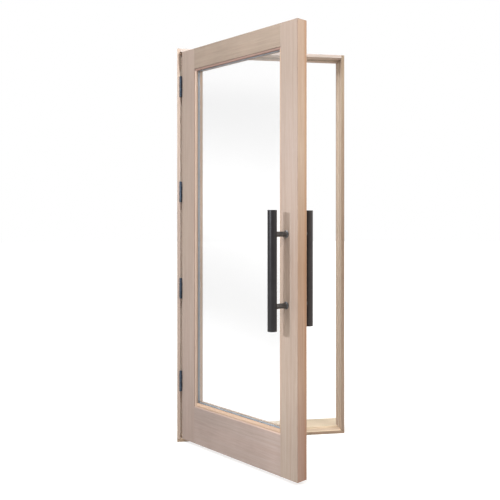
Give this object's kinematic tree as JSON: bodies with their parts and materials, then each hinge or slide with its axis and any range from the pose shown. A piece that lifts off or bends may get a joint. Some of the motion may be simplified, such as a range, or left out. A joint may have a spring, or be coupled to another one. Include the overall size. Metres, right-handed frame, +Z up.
{
  "type": "glass door",
  "caption": "Full-height glazed wood door leaf on butt hinges in its own rebated frame with a sill, with long tubular pull handles on both faces.",
  "frame": {"origin": "on the floor, at the middle of the frame's width and of the jambs' depth, on the sill's underside", "axes": "+X along the frame to the strike jamb, +Y to the back, away from the side that the leaf opens to, +Z up"},
  "size_m": [1.082, 1.1118, 2.484],
  "materials": {
    "frame_wood": "sanded bare softwood",
    "sill_wood": "sanded bare softwood, paler",
    "leaf_wood": "sanded bare softwood",
    "bead_wood": "sanded bare softwood",
    "dowel_wood": "fluted hardwood",
    "glass": "clear float",
    "spacer_aluminium": "satin",
    "edge_sealant": "matte",
    "block_rubber": "matte",
    "seal_rubber": "matte, beige",
    "hinge_steel": "satin dark bronze coating",
    "pull_steel": "satin dark bronze coating",
    "screw_steel": "zinc plated"
  },
  "bodies": {
    "frame": {"hinge_jamb": "frame_wood", "strike_jamb": "frame_wood", "head_jamb": "frame_wood", "sill": "sill_wood", "hinge_side_seal": "seal_rubber", "strike_side_seal": "seal_rubber", "head_seal": "seal_rubber", "frame_screws": "screw_steel", "hinge_1_jamb_plate": "hinge_steel", "hinge_2_jamb_plate": "hinge_steel", "hinge_3_jamb_plate": "hinge_steel", "hinge_4_jamb_plate": "hinge_steel", "hinge_1_pin": "hinge_steel", "hinge_2_pin": "hinge_steel", "hinge_3_pin": "hinge_steel", "hinge_4_pin": "hinge_steel", "jamb_plate_screws": "hinge_steel"},
    "leaf": {"hinge_stile": "leaf_wood", "lock_stile": "leaf_wood", "top_rail": "leaf_wood", "bottom_rail": "leaf_wood", "rail_dowels": "dowel_wood", "front_pane": "glass", "back_pane": "glass", "spacer_bar": "spacer_aluminium", "pane_edge_seal": "edge_sealant", "setting_blocks": "block_rubber", "front_hinge_bead": "bead_wood", "front_lock_bead": "bead_wood", "front_top_bead": "bead_wood", "front_bottom_bead": "bead_wood", "back_hinge_bead": "bead_wood", "back_lock_bead": "bead_wood", "back_top_bead": "bead_wood", "back_bottom_bead": "bead_wood", "hinge_1_leaf_plate": "hinge_steel", "hinge_2_leaf_plate": "hinge_steel", "hinge_3_leaf_plate": "hinge_steel", "hinge_4_leaf_plate": "hinge_steel", "leaf_plate_screws": "hinge_steel", "front_pull_tube": "pull_steel", "back_pull_tube": "pull_steel", "pull_end_caps": "pull_steel", "front_upper_post": "pull_steel", "front_lower_post": "pull_steel", "back_upper_post": "pull_steel", "back_lower_post": "pull_steel", "pull_bolts": "screw_steel"}
  },
  "joints": [
    {"name": "leaf_hinge", "type": "hinge", "parent": "frame", "child": "leaf", "pos_m": [-0.5195, -0.0635, 1.2425], "axis": [0, 0, -1], "range_deg": [-55, 115]}
  ]
}
